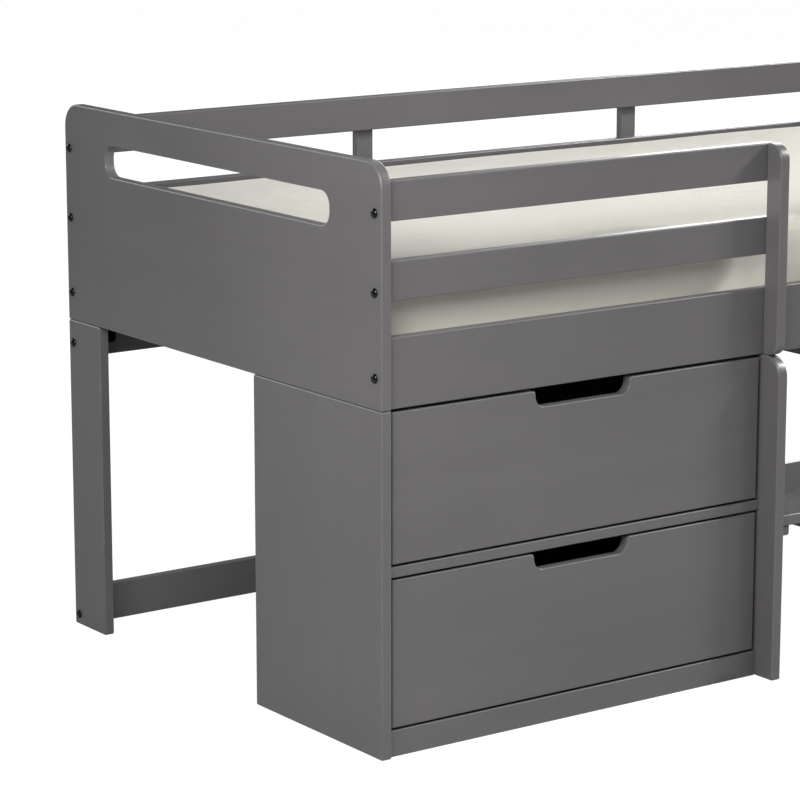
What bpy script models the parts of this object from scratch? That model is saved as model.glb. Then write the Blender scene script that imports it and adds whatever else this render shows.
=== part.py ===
"""Low loft bed with a two-drawer cabinet, a one-step ladder and a desk on wheels.

The bed is drawn from its left-front floor corner: X runs along its length, Y from the
front edge of its end panels to the rear, Z up from the floor. Every point then moves by
ORIGIN_SHIFT, so the finished bed stands on Z = 0 with its box centred on X and Y.
"""

import math

import bmesh
import bpy
from mathutils import Matrix, Vector

# ---------------------------------------------------------------- driving dimensions, m
BED_LENGTH = 1.980
BED_WIDTH = 1.000
BED_HEIGHT = 0.978
BOARD = 0.020                  # thickness of every structural board
FIT_GAP = 0.0003               # between pieces that touch
EASE = 0.002                   # eased edge of a lacquered board

FRAME_FLOOR = 0.580            # underside of the end panels and the bed rails
BED_RAIL_TOP = 0.697
LOWER_GUARD = (0.755, 0.820)
UPPER_GUARD = (0.8825, 0.948)
RAIL_INSET = 0.008             # front rails stand back from the end panels' edge
REAR_RAIL_INSET = 0.006

PANEL_CORNER = 0.042
SLOT_Y = (0.147, 0.857)
SLOT_Z = (0.8595, 0.9157)
SLOT_CORNER = 0.024

LEG_WIDTH = 0.110
CABINET_DEPTH = 0.376
STILE_PROUD = 0.0374           # the ladder's stiles stand in front of the end panels
STILE_CORNER = 0.037
POST_PROUD = 0.0293
POST_TOP_CORNER = 0.029
POST_FOOT_CORNER = 0.025
LADDER_X = (0.8125, 1.1800)    # outer left of the left stile, inner face of the right one
RIGHT_STILE_DEPTH = 0.140

STRETCHER_UPPER = (0.510, 0.5765)
STRETCHER_LOWER = (0.0015, 0.0704)
BALUSTER = (0.039, 0.016)      # along X, along Y
BALUSTER_Z = (0.600, 0.940)

TREAD_TOP = 0.2955
TREAD_Y = (-0.030, 0.100)
CLEAT = (0.022, 0.0187)        # along X, along Z
CLEAT_Y = (-0.027, 0.085)

PLINTH_HEIGHT = 0.045
DIVIDER_Z = (0.302, 0.320)
SHELF_THICKNESS = 0.015
BACK_THICKNESS = 0.012
DRAWER_X = (0.0265, 0.8060)
DRAWER_FRONTS = {"upper": (0.324, 0.575), "lower": (0.049, 0.298)}
DRAWER_BOX_DEPTH = 0.300
DRAWER_BOX_HEIGHT = 0.190
DRAWER_WALL = 0.012
DRAWER_BOTTOM = 0.006
DRAWER_BOTTOM_EASE = 0.001
DRAWER_RUNNING_GAP = 0.0005
DRAWER_SIDE_INSET = 0.003
HANDLE_WIDTH = 0.200
HANDLE_DEPTH = 0.028
HANDLE_CORNER = 0.019
HANDLE_LIP = 0.004

LEDGER = (0.020, 0.0195)       # along Y, along Z
SLAT_COUNT = 9
SLAT_WIDTH = 0.070
SLAT_THICKNESS = 0.018
SLAT_END_MARGIN = 0.110
MATTRESS_X_GAP = 0.015
MATTRESS_Y_GAP = 0.017
MATTRESS_TOP = 0.815
MATTRESS_CORNER = 0.030

DESK_X = (1.215, 1.945)
DESK_Y = (0.045, 0.545)
DESK_TOP = 0.550
DESK_TOP_THICKNESS = 0.018
DESK_TOP_CORNER = 0.030
DESK_FRAME_INSET_X = 0.020
DESK_FRAME_Y = (0.060, 0.530)
DESK_LEG_WIDTH = 0.045
DESK_FRAME_RAIL = 0.060
DESK_LOW_RAIL = (0.135, 0.185)
DESK_FRAME_CORNER = 0.015
DESK_LEG_CLEARANCE = 0.008
WHEEL_RADIUS = 0.020
WHEEL_WIDTH = 0.014
WHEEL_BORE = 0.0046
WHEEL_CROWN = 0.002
AXLE_RADIUS = 0.004
AXLE_HEAD = (0.008, 0.003)     # radius, thickness
WHEEL_SIDE_GAP = 0.001
WHEEL_INSET_Y = 0.022          # axle from the outer edge of its leg

ARC_STEPS = 6
ROUND_STEPS = 24
REAR_RAIL_BACK = BED_WIDTH - REAR_RAIL_INSET
REAR_REACH = REAR_RAIL_BACK + FIT_GAP + BALUSTER[1]
ORIGIN_SHIFT = Vector((-BED_LENGTH / 2, -(REAR_REACH - STILE_PROUD) / 2, 0.0))

INNER_X = (BOARD + FIT_GAP, BED_LENGTH - BOARD - FIT_GAP)
FRONT_RAIL_Y = (RAIL_INSET, RAIL_INSET + BOARD)
REAR_RAIL_Y = (REAR_RAIL_BACK - BOARD, REAR_RAIL_BACK)
UNDERFRAME_TOP = FRAME_FLOOR - FIT_GAP
LEFT_STILE_X = (LADDER_X[0], LADDER_X[0] + BOARD)
RIGHT_STILE_X = (LADDER_X[1], LADDER_X[1] + BOARD)

# Local axes of a flat board: its outline's two axes, then its thickness.
SIDE_PLANE = Matrix(((0, 0, 1), (1, 0, 0), (0, 1, 0)))      # outline in Y, Z; thick in X
FRONT_PLANE = Matrix(((1, 0, 0), (0, 0, -1), (0, 1, 0)))    # outline in X, Z; thick in -Y
TOP_PLANE = Matrix.Identity(3)                              # outline in X, Y; thick in Z


# ---------------------------------------------------------------- scene and materials
def clear_scene():
    for item in list(bpy.data.objects):
        bpy.data.objects.remove(item, do_unlink=True)


def make_collection(name):
    collection = bpy.data.collections.new(name)
    bpy.context.scene.collection.children.link(collection)
    return collection


def make_material(name, colour, roughness, metallic=0.0):
    material = bpy.data.materials.new(name)
    material.use_nodes = True
    shader = material.node_tree.nodes["Principled BSDF"]
    shader.inputs["Base Color"].default_value = (*colour, 1.0)
    shader.inputs["Roughness"].default_value = roughness
    shader.inputs["Metallic"].default_value = metallic
    material.diffuse_color = (*colour, 1.0)
    return material


# ---------------------------------------------------------------- modelling helpers
def add_object(name, mesh, location, material, parent=None):
    """Put a mesh in the bed's collection at a point given from the left-front corner."""
    item = bpy.data.objects.new(name, mesh)
    parts.objects.link(item)
    item.location = Vector(location) + ORIGIN_SHIFT
    if parent is not None:
        item.parent = parent
        item.location -= parent.location
    mesh.materials.clear()
    mesh.materials.append(material)
    return item


def ease_edges(item, width, segments):
    bevel = item.modifiers.new("eased_edges", "BEVEL")
    bevel.width = width
    bevel.segments = segments
    bevel.limit_method = "ANGLE"
    bevel.harden_normals = False
    return bevel


def board(name, x, y, z, material, parent=None, ease=EASE, segments=1):
    """A straight board between two corners, with its edges eased."""
    low = Vector((x[0], y[0], z[0]))
    high = Vector((x[1], y[1], z[1]))
    mesh = bpy.data.meshes.new(name)
    shape = bmesh.new()
    bmesh.ops.create_cube(shape, size=1.0, matrix=Matrix.Diagonal((high - low).to_4d()))
    shape.to_mesh(mesh)
    shape.free()
    item = add_object(name, mesh, (low + high) / 2, material, parent)
    ease_edges(item, ease, segments)
    return item


def fillet(before, corner, after, radius):
    """Points of the arc that rounds one corner of an outline."""
    if radius <= 0.0:
        return [corner]
    to_before = (before - corner).normalized()
    to_after = (after - corner).normalized()
    half_angle = to_before.angle(to_after) / 2
    reach = radius / math.tan(half_angle)
    centre = corner + (to_before + to_after).normalized() * (radius / math.sin(half_angle))
    start = corner + to_before * reach - centre
    end = corner + to_after * reach - centre
    sweep = math.pi - 2 * half_angle
    if start.x * end.y - start.y * end.x < 0.0:
        sweep = -sweep
    points = []
    for step in range(ARC_STEPS + 1):
        turn = Matrix.Rotation(sweep * step / ARC_STEPS, 2)
        points.append(centre + turn @ start)
    return points


def outline(corners):
    """A closed outline from (a, b, corner radius) rows, its round corners as arcs."""
    flat = [Vector(row[:2]) for row in corners]
    points = []
    for index, row in enumerate(corners):
        after = flat[(index + 1) % len(flat)]
        points += fillet(flat[index - 1], flat[index], after, row[2])
    return points


def rectangle(a, b, radii):
    """Corners of a rectangle, with radii for low-low, high-low, high-high, low-high."""
    places = ((a[0], b[0]), (a[1], b[0]), (a[1], b[1]), (a[0], b[1]))
    return outline([(*place, radius) for place, radius in zip(places, radii)])


def flat_mesh(name, outlines, thickness, ease=EASE):
    """The mesh of a flat board cut to outlines, centred on its thickness."""
    curve = bpy.data.curves.new(name, "CURVE")
    curve.dimensions = "2D"
    curve.fill_mode = "BOTH"
    curve.extrude = thickness / 2 - ease
    curve.bevel_depth = ease
    curve.bevel_resolution = 0
    curve.offset = -ease
    for points in outlines:
        spline = curve.splines.new("POLY")
        spline.points.add(len(points) - 1)
        for place, point in zip(spline.points, points):
            place.co = (point.x, point.y, 0.0, 1.0)
        spline.use_cyclic_u = True
    pattern = bpy.data.objects.new(name + "_outline", curve)
    parts.objects.link(pattern)
    view = bpy.context.evaluated_depsgraph_get()
    mesh = bpy.data.meshes.new_from_object(pattern.evaluated_get(view))
    bpy.data.objects.remove(pattern, do_unlink=True)
    shape = bmesh.new()
    shape.from_mesh(mesh)
    bmesh.ops.remove_doubles(shape, verts=shape.verts, dist=0.00001)
    bmesh.ops.recalc_face_normals(shape, faces=shape.faces)
    shape.to_mesh(mesh)
    shape.free()
    mesh.name = name
    return mesh


def cut_board(name, plane, outlines, span, material, parent=None, ease=EASE):
    """A flat board cut to outlines that lies in a plane, between two depths."""
    mesh = flat_mesh(name, outlines, span[1] - span[0], ease)
    mesh.transform(plane.to_4x4())
    axis = plane @ Vector((0.0, 0.0, 1.0))
    depth = Vector([abs(part) for part in axis]) * (span[0] + span[1]) / 2
    return add_object(name, mesh, depth, material, parent)


def joint_frame(name, point):
    """An empty on a joint's axis, to carry the pieces that move with it."""
    empty = bpy.data.objects.new(name, None)
    empty.empty_display_size = 0.05
    empty.location = Vector(point) + ORIGIN_SHIFT
    parts.objects.link(empty)
    return empty


def mirror_x(span):
    """The same span measured from the bed's other end."""
    return (BED_LENGTH - span[1], BED_LENGTH - span[0])


# ---------------------------------------------------------------- frame
def make_end_panels():
    corners = (0.0, 0.0, PANEL_CORNER, PANEL_CORNER)
    panel = rectangle((0.0, BED_WIDTH), (FRAME_FLOOR, BED_HEIGHT), corners)
    slot = rectangle(SLOT_Y, SLOT_Z, (SLOT_CORNER,) * 4)
    left = (0.0, BOARD)
    cut_board("left_end_panel", SIDE_PLANE, [panel, slot], left, lacquer)
    cut_board("right_end_panel", SIDE_PLANE, [panel, slot], mirror_x(left), lacquer)


def make_legs():
    height = (0.0, UNDERFRAME_TOP)
    left = (0.0, BOARD)
    rear = (BED_WIDTH - LEG_WIDTH, BED_WIDTH)
    board("rear_left_leg", left, rear, height, lacquer)
    board("rear_right_leg", mirror_x(left), rear, height, lacquer)
    board("front_right_leg", mirror_x(left), (0.0, LEG_WIDTH), height, lacquer)


def make_rails():
    guards = {"upper": UPPER_GUARD, "lower": LOWER_GUARD}
    sections = {"left": (INNER_X[0], LEFT_STILE_X[1]), "right": (LADDER_X[1], INNER_X[1])}
    board("front_bed_rail", INNER_X, FRONT_RAIL_Y, (FRAME_FLOOR, BED_RAIL_TOP), lacquer)
    board("rear_bed_rail", INNER_X, REAR_RAIL_Y, (FRAME_FLOOR, BED_RAIL_TOP), lacquer)
    for level, height in guards.items():
        board(f"rear_guard_rail_{level}", INNER_X, REAR_RAIL_Y, height, lacquer)
        for side, span in sections.items():
            board(f"{side}_guard_rail_{level}", span, FRONT_RAIL_Y, height, lacquer)
    board("rear_stretcher_upper", INNER_X, REAR_RAIL_Y, STRETCHER_UPPER, lacquer)
    board("rear_stretcher_lower", INNER_X, REAR_RAIL_Y, STRETCHER_LOWER, lacquer)


def make_guard_posts():
    depth = (-POST_PROUD, RAIL_INSET - FIT_GAP)
    height = (FRAME_FLOOR, UPPER_GUARD[1])
    shape = rectangle(depth, height, (POST_FOOT_CORNER, 0.0, 0.0, POST_TOP_CORNER))
    for side, span in (("left", LEFT_STILE_X), ("right", RIGHT_STILE_X)):
        cut_board(f"{side}_guard_post", SIDE_PLANE, [shape], span, lacquer)


def make_balusters():
    depth = (REAR_RAIL_BACK + FIT_GAP, REAR_REACH)
    for name, third in (("rear_baluster_left", 1), ("rear_baluster_right", 2)):
        centre = BED_LENGTH * third / 3
        span = (centre - BALUSTER[0] / 2, centre + BALUSTER[0] / 2)
        board(name, span, depth, BALUSTER_Z, lacquer)


# ---------------------------------------------------------------- sleeping surface
def make_slats():
    ledger_z = (FRAME_FLOOR, FRAME_FLOOR + LEDGER[1])
    front_y = (FRONT_RAIL_Y[1] + FIT_GAP, FRONT_RAIL_Y[1] + FIT_GAP + LEDGER[0])
    rear_y = (REAR_RAIL_Y[0] - FIT_GAP - LEDGER[0], REAR_RAIL_Y[0] - FIT_GAP)
    board("slat_ledger_front", INNER_X, front_y, ledger_z, pine)
    board("slat_ledger_rear", INNER_X, rear_y, ledger_z, pine)
    low = ledger_z[1] + FIT_GAP
    spacing = (BED_LENGTH - 2 * SLAT_END_MARGIN) / (SLAT_COUNT - 1)
    for index in range(SLAT_COUNT):
        centre = SLAT_END_MARGIN + spacing * index
        span = (centre - SLAT_WIDTH / 2, centre + SLAT_WIDTH / 2)
        board(f"slat_{index + 1}", span, (front_y[0], rear_y[1]),
              (low, low + SLAT_THICKNESS), pine)
    return low + SLAT_THICKNESS


def make_mattress(support):
    span_x = (INNER_X[0] + MATTRESS_X_GAP, INNER_X[1] - MATTRESS_X_GAP)
    span_y = (FRONT_RAIL_Y[1] + MATTRESS_Y_GAP, REAR_RAIL_Y[0] - MATTRESS_Y_GAP)
    board("mattress", span_x, span_y, (support + FIT_GAP, MATTRESS_TOP), ticking,
          ease=MATTRESS_CORNER, segments=4)


# ---------------------------------------------------------------- cabinet and drawers
def make_cabinet():
    inside = (BOARD + FIT_GAP, LEFT_STILE_X[0] - FIT_GAP)
    back = (CABINET_DEPTH - BACK_THICKNESS, CABINET_DEPTH)
    shelf_y = (FRONT_RAIL_Y[0], back[0] - FIT_GAP)
    bottom_y = (FRONT_RAIL_Y[1] + FIT_GAP, back[0] - FIT_GAP)
    height = (0.0, UNDERFRAME_TOP)
    board("cabinet_left_side", (0.0, BOARD), (0.0, CABINET_DEPTH), height, lacquer)
    side = rectangle((-STILE_PROUD, CABINET_DEPTH), height, (0.0, 0.0, 0.0, STILE_CORNER))
    cut_board("cabinet_right_side", SIDE_PLANE, [side], LEFT_STILE_X, lacquer)
    board("cabinet_back", inside, back, (STRETCHER_LOWER[0], DRAWER_FRONTS["upper"][1]), lacquer)
    board("cabinet_plinth", inside, FRONT_RAIL_Y, (0.0, PLINTH_HEIGHT), lacquer)
    board("cabinet_bottom", inside, bottom_y,
          (PLINTH_HEIGHT - SHELF_THICKNESS, PLINTH_HEIGHT), lacquer)
    board("cabinet_divider", inside, shelf_y, DIVIDER_Z, lacquer)


def drawer_front_outline(height):
    """A drawer front with a rounded hand cut-out in the middle of its top edge."""
    middle = (DRAWER_X[0] + DRAWER_X[1]) / 2
    left, right = middle - HANDLE_WIDTH / 2, middle + HANDLE_WIDTH / 2
    low, top = height
    floor = top - HANDLE_DEPTH
    return outline([
        (DRAWER_X[0], low, 0.0), (DRAWER_X[1], low, 0.0), (DRAWER_X[1], top, 0.0),
        (right, top, HANDLE_LIP), (right, floor, HANDLE_CORNER),
        (left, floor, HANDLE_CORNER), (left, top, HANDLE_LIP), (DRAWER_X[0], top, 0.0),
    ])


def make_drawer(level, shelf):
    """One drawer that slides forwards on the board under it."""
    name = f"{level}_drawer"
    middle = (DRAWER_X[0] + DRAWER_X[1]) / 2
    height = DRAWER_FRONTS[level]
    frame = joint_frame(f"{name}_slide", (middle, FRONT_RAIL_Y[0], sum(height) / 2))
    cut_board(f"{name}_front", FRONT_PLANE, [drawer_front_outline(height)],
              FRONT_RAIL_Y, lacquer, frame)
    low = shelf + DRAWER_RUNNING_GAP
    box_z = (low, low + DRAWER_BOX_HEIGHT)
    box_y = (FRONT_RAIL_Y[1] + FIT_GAP, FRONT_RAIL_Y[1] + DRAWER_BOX_DEPTH)
    outer = (DRAWER_X[0] + DRAWER_SIDE_INSET, DRAWER_X[1] - DRAWER_SIDE_INSET)
    inner = (outer[0] + DRAWER_WALL, outer[1] - DRAWER_WALL)
    clear = (inner[0] + FIT_GAP, inner[1] - FIT_GAP)
    board(f"{name}_left_side", (outer[0], inner[0]), box_y, box_z, lacquer, frame)
    board(f"{name}_right_side", (inner[1], outer[1]), box_y, box_z, lacquer, frame)
    board(f"{name}_back", clear, (box_y[1] - DRAWER_WALL, box_y[1]), box_z, lacquer, frame)
    bottom_y = (box_y[0], box_y[1] - DRAWER_WALL - FIT_GAP)
    bottom_z = (low + DRAWER_BOTTOM, low + 2 * DRAWER_BOTTOM)
    board(f"{name}_bottom", clear, bottom_y, bottom_z, lacquer, frame, ease=DRAWER_BOTTOM_EASE)


# ---------------------------------------------------------------- ladder
def make_ladder():
    height = (0.0, UNDERFRAME_TOP)
    depth = (-STILE_PROUD, RIGHT_STILE_DEPTH - STILE_PROUD)
    stile = rectangle(depth, height, (0.0, 0.0, 0.0, STILE_CORNER))
    cut_board("ladder_right_stile", SIDE_PLANE, [stile], RIGHT_STILE_X, lacquer)
    span = (LEFT_STILE_X[1] + FIT_GAP, RIGHT_STILE_X[0] - FIT_GAP)
    tread_z = (TREAD_TOP - BOARD, TREAD_TOP)
    cleat_z = (tread_z[0] - FIT_GAP - CLEAT[1], tread_z[0] - FIT_GAP)
    board("ladder_tread", span, TREAD_Y, tread_z, lacquer)
    board("tread_cleat_left", (span[0], span[0] + CLEAT[0]), CLEAT_Y, cleat_z, lacquer)
    board("tread_cleat_right", (span[1] - CLEAT[0], span[1]), CLEAT_Y, cleat_z, lacquer)


# ---------------------------------------------------------------- desk on wheels
def desk_frame_outlines():
    """A desk side: two legs, a top rail and a low rail, with the gaps between them open."""
    legs = (DESK_FRAME_Y[0] + DESK_LEG_WIDTH, DESK_FRAME_Y[1] - DESK_LEG_WIDTH)
    top = DESK_TOP - DESK_TOP_THICKNESS - FIT_GAP
    low = DESK_LOW_RAIL[0]
    corner = DESK_FRAME_CORNER
    foot = DESK_LEG_CLEARANCE
    outer = outline([
        (DESK_FRAME_Y[0], foot, 0.0), (legs[0], foot, 0.0), (legs[0], low, corner),
        (legs[1], low, corner), (legs[1], foot, 0.0), (DESK_FRAME_Y[1], foot, 0.0),
        (DESK_FRAME_Y[1], top, 0.0), (DESK_FRAME_Y[0], top, 0.0),
    ])
    window = rectangle(legs, (DESK_LOW_RAIL[1], top - DESK_FRAME_RAIL), (corner,) * 4)
    return [outer, window]


def turned_mesh(name, profile, closed):
    """A shape turned about X from (along, out) points."""
    shape = bmesh.new()
    points = [shape.verts.new((along, 0.0, out)) for along, out in profile]
    first = 0 if closed else 1
    edges = [shape.edges.new((points[i - 1], points[i])) for i in range(first, len(points))]
    bmesh.ops.spin(shape, geom=points + edges, axis=(1.0, 0.0, 0.0), cent=(0.0, 0.0, 0.0),
                   angle=2 * math.pi, steps=ROUND_STEPS, use_merge=True)
    bmesh.ops.remove_doubles(shape, verts=shape.verts, dist=0.00001)
    bmesh.ops.recalc_face_normals(shape, faces=shape.faces)
    mesh = bpy.data.meshes.new(name)
    shape.to_mesh(mesh)
    shape.free()
    return mesh


def axle_mesh(length, head_side):
    """A stub axle along X with its root in the desk leg and a round head at its end."""
    root = -BOARD / 4
    profile = [(root, 0.0), (root, AXLE_RADIUS), (length, AXLE_RADIUS),
               (length, AXLE_HEAD[0]), (length + AXLE_HEAD[1], AXLE_HEAD[0]),
               (length + AXLE_HEAD[1], 0.0)]
    placed = [(head_side * along, out) for along, out in profile]
    return turned_mesh("axle", placed, closed=False)


def join_axle(frame, point, head_side):
    """Unite a wheel's stub axle with the desk frame that carries it."""
    length = WHEEL_WIDTH + 2 * WHEEL_SIDE_GAP
    cutter = bpy.data.objects.new(f"{frame.name}_axle", axle_mesh(length, head_side))
    cutters.objects.link(cutter)
    cutter.location = Vector(point) + ORIGIN_SHIFT
    cutter.hide_render = True
    cutter.display_type = "WIRE"
    union = frame.modifiers.new("axle", "BOOLEAN")
    union.operation = "UNION"
    union.solver = "EXACT"
    union.object = cutter


def wheel_mesh():
    """A small wheel turned about X, with a running bore and a crowned tread."""
    half = WHEEL_WIDTH / 2
    profile = [(half, WHEEL_BORE), (half, WHEEL_RADIUS - WHEEL_CROWN),
               (half - WHEEL_CROWN, WHEEL_RADIUS), (WHEEL_CROWN - half, WHEEL_RADIUS),
               (-half, WHEEL_RADIUS - WHEEL_CROWN), (-half, WHEEL_BORE)]
    return turned_mesh("desk_wheel", profile, closed=True)


def make_desk():
    carriage = joint_frame("desk_slide", ((DESK_X[0] + DESK_X[1]) / 2, DESK_Y[0], DESK_TOP))
    top_z = (DESK_TOP - DESK_TOP_THICKNESS, DESK_TOP)
    shape = rectangle(DESK_X, DESK_Y, (DESK_TOP_CORNER,) * 4)
    cut_board("desk_top", TOP_PLANE, [shape], top_z, lacquer, carriage)
    left = (DESK_X[0] + DESK_FRAME_INSET_X, DESK_X[0] + DESK_FRAME_INSET_X + BOARD)
    right = (DESK_X[1] - DESK_FRAME_INSET_X - BOARD, DESK_X[1] - DESK_FRAME_INSET_X)
    frames = {}
    for side, span in (("left", left), ("right", right)):
        frames[side] = cut_board(f"desk_{side}_frame", SIDE_PLANE, desk_frame_outlines(),
                                 span, lacquer, carriage)
    between = (left[1] + FIT_GAP, right[0] - FIT_GAP)
    rail_z = (top_z[0] - FIT_GAP - DESK_FRAME_RAIL, top_z[0] - FIT_GAP)
    front_y = (DESK_FRAME_Y[0] + EASE, DESK_FRAME_Y[0] + EASE + BOARD)
    rear_y = (DESK_FRAME_Y[1] - EASE - BOARD, DESK_FRAME_Y[1] - EASE)
    board("desk_front_rail", between, front_y, rail_z, lacquer, carriage)
    board("desk_rear_rail", between, rear_y, rail_z, lacquer, carriage)
    for side, face, inward in (("left", left[1], 1.0), ("right", right[0], -1.0)):
        for end, y in (("front", DESK_FRAME_Y[0] + WHEEL_INSET_Y),
                       ("rear", DESK_FRAME_Y[1] - WHEEL_INSET_Y)):
            join_axle(frames[side], (face, y, WHEEL_RADIUS), inward)
            centre = face + inward * (WHEEL_SIDE_GAP + WHEEL_WIDTH / 2)
            wheel = add_object(f"desk_wheel_{end}_{side}", wheel_mesh(),
                               (centre, y, WHEEL_RADIUS), rubber, carriage)
            wheel.data.shade_smooth()
            wheel.data.set_sharp_from_angle(angle=math.radians(30.0))


# ---------------------------------------------------------------- build
clear_scene()
parts = make_collection("loft_bed_with_desk")
cutters = make_collection("loft_bed_cutters")
lacquer = make_material("grey_lacquer", (0.125, 0.122, 0.125), 0.38)
pine = make_material("bare_pine", (0.62, 0.46, 0.29), 0.65)
ticking = make_material("mattress_ticking", (0.72, 0.70, 0.64), 0.90)
rubber = make_material("wheel_rubber", (0.03, 0.03, 0.03), 0.60)

make_end_panels()
make_legs()
make_rails()
make_guard_posts()
make_balusters()
make_mattress(make_slats())
make_cabinet()
make_drawer("upper", DIVIDER_Z[1])
make_drawer("lower", PLINTH_HEIGHT)
make_ladder()
make_desk()
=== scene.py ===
"""A low loft bed in grey lacquer, with a drawer cabinet, a step ladder and a rolling desk.

Each sub-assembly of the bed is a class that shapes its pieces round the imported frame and
dresses them: boards are cut, rounded and eased, the mattress is blown up as cloth, and
bolts, brackets, axles and wheels are turned or bent from small profiles. Lengths are in
metres.
"""
import logging
import math
from collections.abc import Callable, Iterable, Sequence
from dataclasses import dataclass
from enum import Enum
from functools import cache

import bmesh
import bpy
from mathutils import Matrix, Vector, noise


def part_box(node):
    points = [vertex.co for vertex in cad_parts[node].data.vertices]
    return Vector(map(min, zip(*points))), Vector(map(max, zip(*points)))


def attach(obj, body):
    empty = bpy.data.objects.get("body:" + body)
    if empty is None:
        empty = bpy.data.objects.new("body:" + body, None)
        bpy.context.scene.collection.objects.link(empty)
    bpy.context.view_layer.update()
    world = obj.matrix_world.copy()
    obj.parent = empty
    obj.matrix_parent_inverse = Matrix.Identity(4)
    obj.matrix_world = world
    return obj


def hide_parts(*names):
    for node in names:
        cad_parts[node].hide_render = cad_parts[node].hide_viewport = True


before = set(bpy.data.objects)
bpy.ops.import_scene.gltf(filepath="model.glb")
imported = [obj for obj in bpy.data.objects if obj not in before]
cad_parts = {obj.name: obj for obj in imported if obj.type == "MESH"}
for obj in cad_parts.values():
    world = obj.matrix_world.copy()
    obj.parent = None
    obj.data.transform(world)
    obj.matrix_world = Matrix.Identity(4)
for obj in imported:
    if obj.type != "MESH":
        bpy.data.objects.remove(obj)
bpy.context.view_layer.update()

LOG = logging.getLogger("loft_bed")

Colour = tuple[float, float, float]
Place = tuple[float, float, float]
Span = tuple[float, float]
Profile = Sequence[tuple[float, float]]
Test = Callable[[Vector], bool]

BED = "bed_frame"
EASE = 0.003           # the rounding of a board's edges
NEAR = 0.001           # a point this close to a face counts as on it
PROUD = 0.01           # how far a blade stands out of the board that it cuts
WELD = 0.000001        # corners this close are one
QUARTER = math.pi / 2
WHITE = (1.0, 1.0, 1.0, 1.0)


class Axis(Enum):
    """A direction of the bed: along its length, across it, or up."""

    LENGTH = 0
    DEPTH = 1
    HEIGHT = 2

    @property
    def vector(self) -> Vector:
        """The direction as a unit vector."""
        return Vector([1.0 if part == self.value else 0.0 for part in range(3)])


class Side(Enum):
    """The left or the right side, seen from the bed's front."""

    LEFT = "left"
    RIGHT = "right"

    @property
    def outward(self) -> float:
        """The way out of the bed along X: -1 or 1."""
        return -1.0 if self is Side.LEFT else 1.0

    def face(self, low: Vector, high: Vector) -> float:
        """Where a box's outer face on this side is along X."""
        return low.x if self is Side.LEFT else high.x


class End(Enum):
    """The front or the rear end of the desk's side frames."""

    FRONT = "front"
    REAR = "rear"


class Level(Enum):
    """One of the two drawers."""

    LOWER = "lower"
    UPPER = "upper"


# ---------------------------------------------------------------- shader expressions
@dataclass(frozen=True, eq=False)
class Wire:
    """One shader socket of a graph, which Python arithmetic extends with Math nodes."""

    graph: "Graph"
    socket: bpy.types.NodeSocket

    def _math(self, operation: str, *values: "Wire | float") -> "Wire":
        """The result of a Math node with these inputs, in order."""
        return self.graph.add("ShaderNodeMath", {"operation": operation},
                              dict(enumerate(values)))

    def __add__(self, other: "Wire | float") -> "Wire":
        """The sum of both."""
        return self._math("ADD", self, other)

    def __radd__(self, other: float) -> "Wire":
        """The sum of both, with the number first."""
        return self._math("ADD", other, self)

    def __sub__(self, other: "Wire | float") -> "Wire":
        """This less the other."""
        return self._math("SUBTRACT", self, other)

    def __rsub__(self, other: float) -> "Wire":
        """The number less this."""
        return self._math("SUBTRACT", other, self)

    def __mul__(self, other: "Wire | float") -> "Wire":
        """The product of both."""
        return self._math("MULTIPLY", self, other)

    def __rmul__(self, other: float) -> "Wire":
        """The product of both, with the number first."""
        return self._math("MULTIPLY", other, self)

    def power(self, exponent: float) -> "Wire":
        """This raised to a power."""
        return self._math("POWER", self, exponent)

    def sine(self) -> "Wire":
        """The sine of this angle in radians."""
        return self._math("SINE", self)

    def clamped(self) -> "Wire":
        """This held between 0 and 1."""
        return self._math("MINIMUM", self._math("MAXIMUM", self, 0.0), 1.0)

    def swing(self, amount: float) -> "Wire":
        """How far this pattern is from its middle, 0.5, times an amount."""
        return (self - 0.5) * amount


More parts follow.
